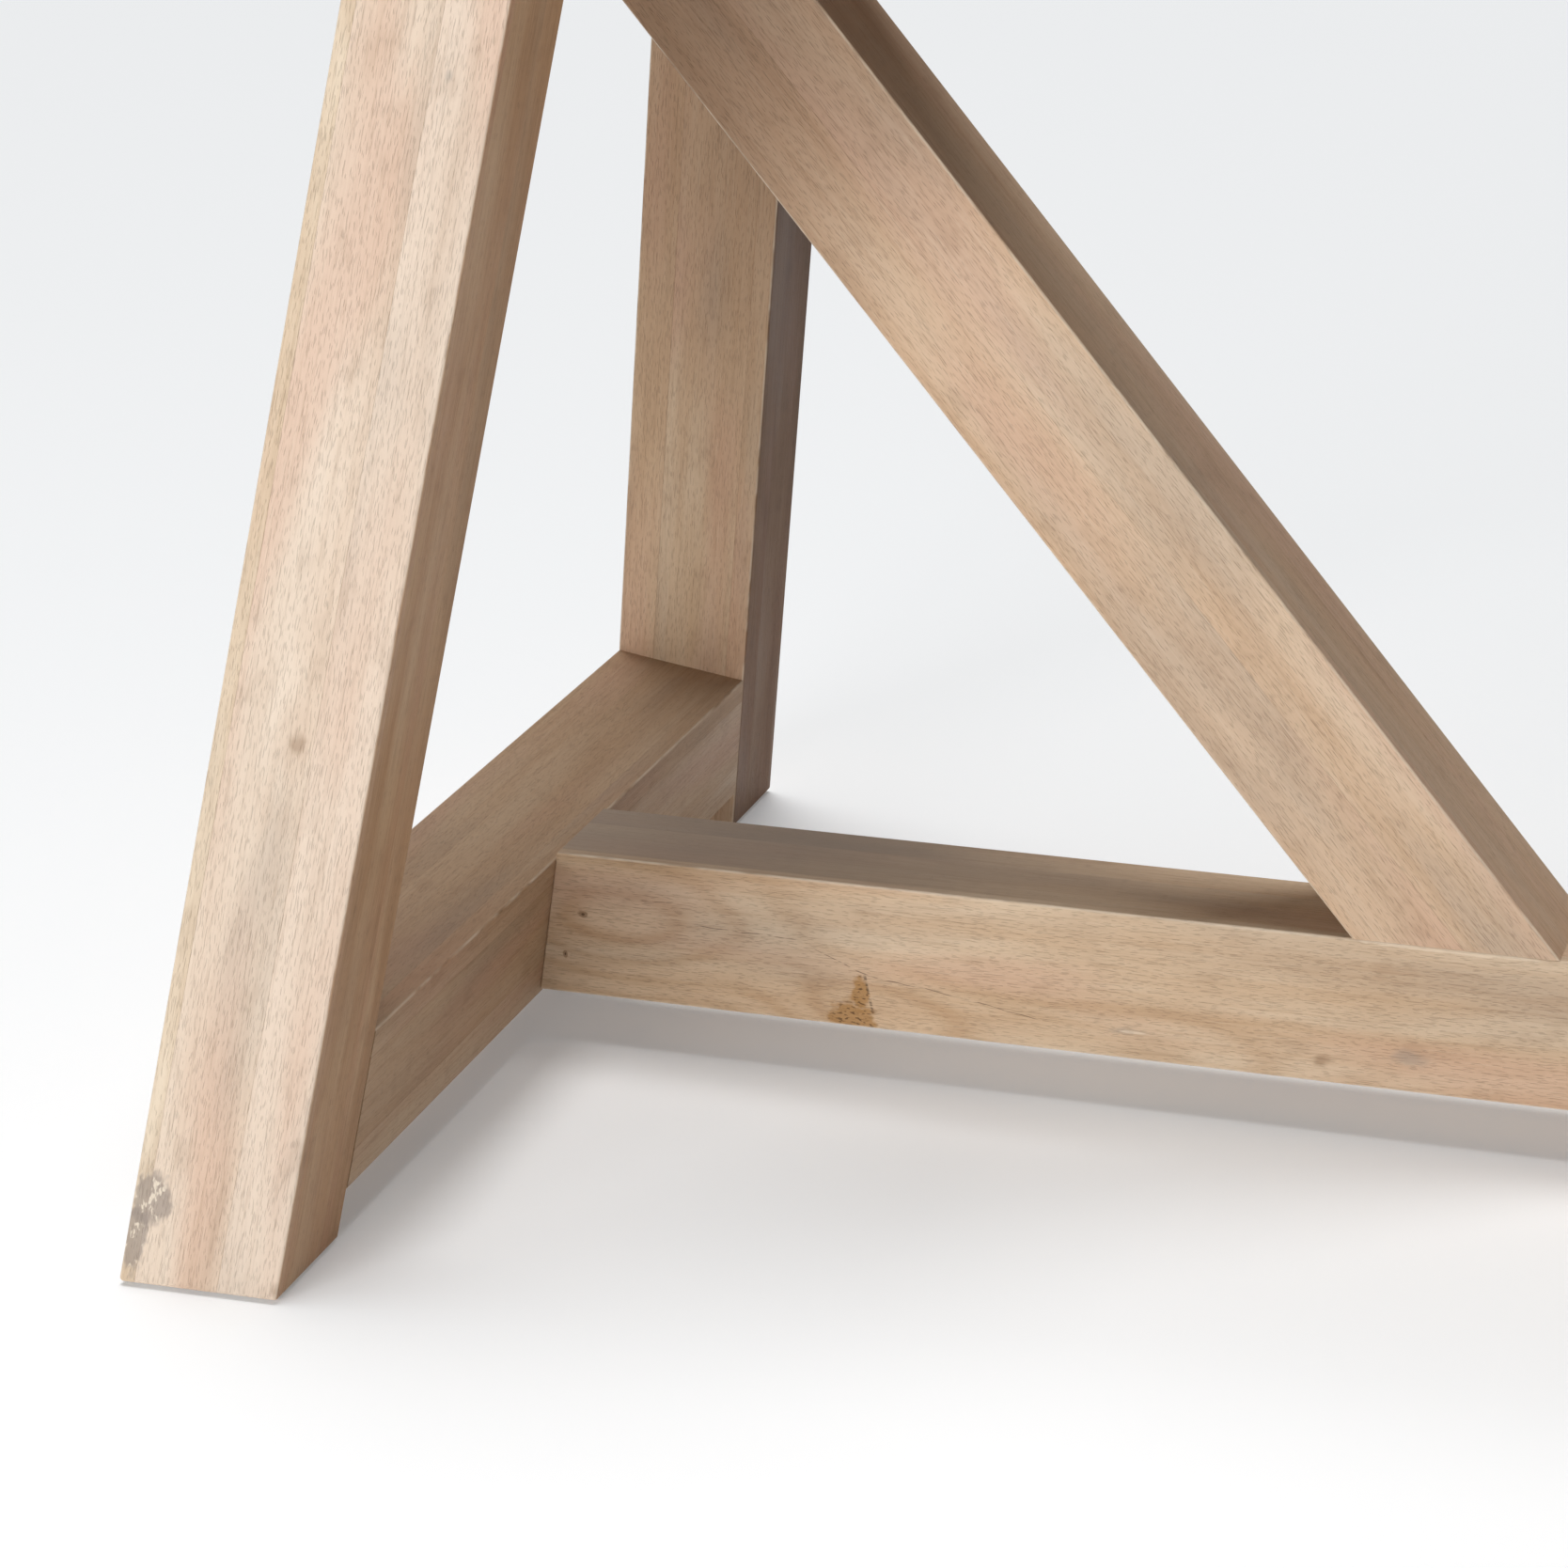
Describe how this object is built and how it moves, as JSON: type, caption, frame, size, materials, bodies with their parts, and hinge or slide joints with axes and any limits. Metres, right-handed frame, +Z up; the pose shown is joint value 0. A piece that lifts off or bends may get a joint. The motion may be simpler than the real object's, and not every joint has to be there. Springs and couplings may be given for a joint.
{
  "type": "sawhorse",
  "caption": "Heavy timber sawhorse: splayed end frames leaning inward, a low stretcher, a top beam and diagonal braces, with a level top.",
  "frame": {"origin": "on the floor, at the centre of the sawhorse", "axes": "+X along the stretcher and the top beam, +Y to the rear, +Z up"},
  "size_m": [1.4614, 0.8346, 0.762],
  "materials": {
    "timber": "matte oiled, laminated hardwood with knots",
    "dowel": "plain beech",
    "zinc_steel": "zinc plated",
    "felt": "pressed felt"
  },
  "bodies": {
    "root": {"left_front_leg": "timber", "left_rear_leg": "timber", "right_front_leg": "timber", "right_rear_leg": "timber", "left_foot_rail": "timber", "right_foot_rail": "timber", "left_top_rail": "timber", "right_top_rail": "timber", "stretcher": "timber", "top_beam": "timber", "left_brace": "timber", "right_brace": "timber", "left_frame_dowels": "dowel", "right_frame_dowels": "dowel", "brace_foot_dowels": "dowel", "brace_head_dowels": "dowel", "stretcher_bolts": "zinc_steel", "stretcher_washers": "zinc_steel", "stretcher_barrel_nuts": "zinc_steel", "top_beam_bolts": "zinc_steel", "top_beam_washers": "zinc_steel", "top_beam_barrel_nuts": "zinc_steel", "left_front_foot_pad": "felt", "left_rear_foot_pad": "felt", "right_front_foot_pad": "felt", "right_rear_foot_pad": "felt"}
  },
  "joints": []
}
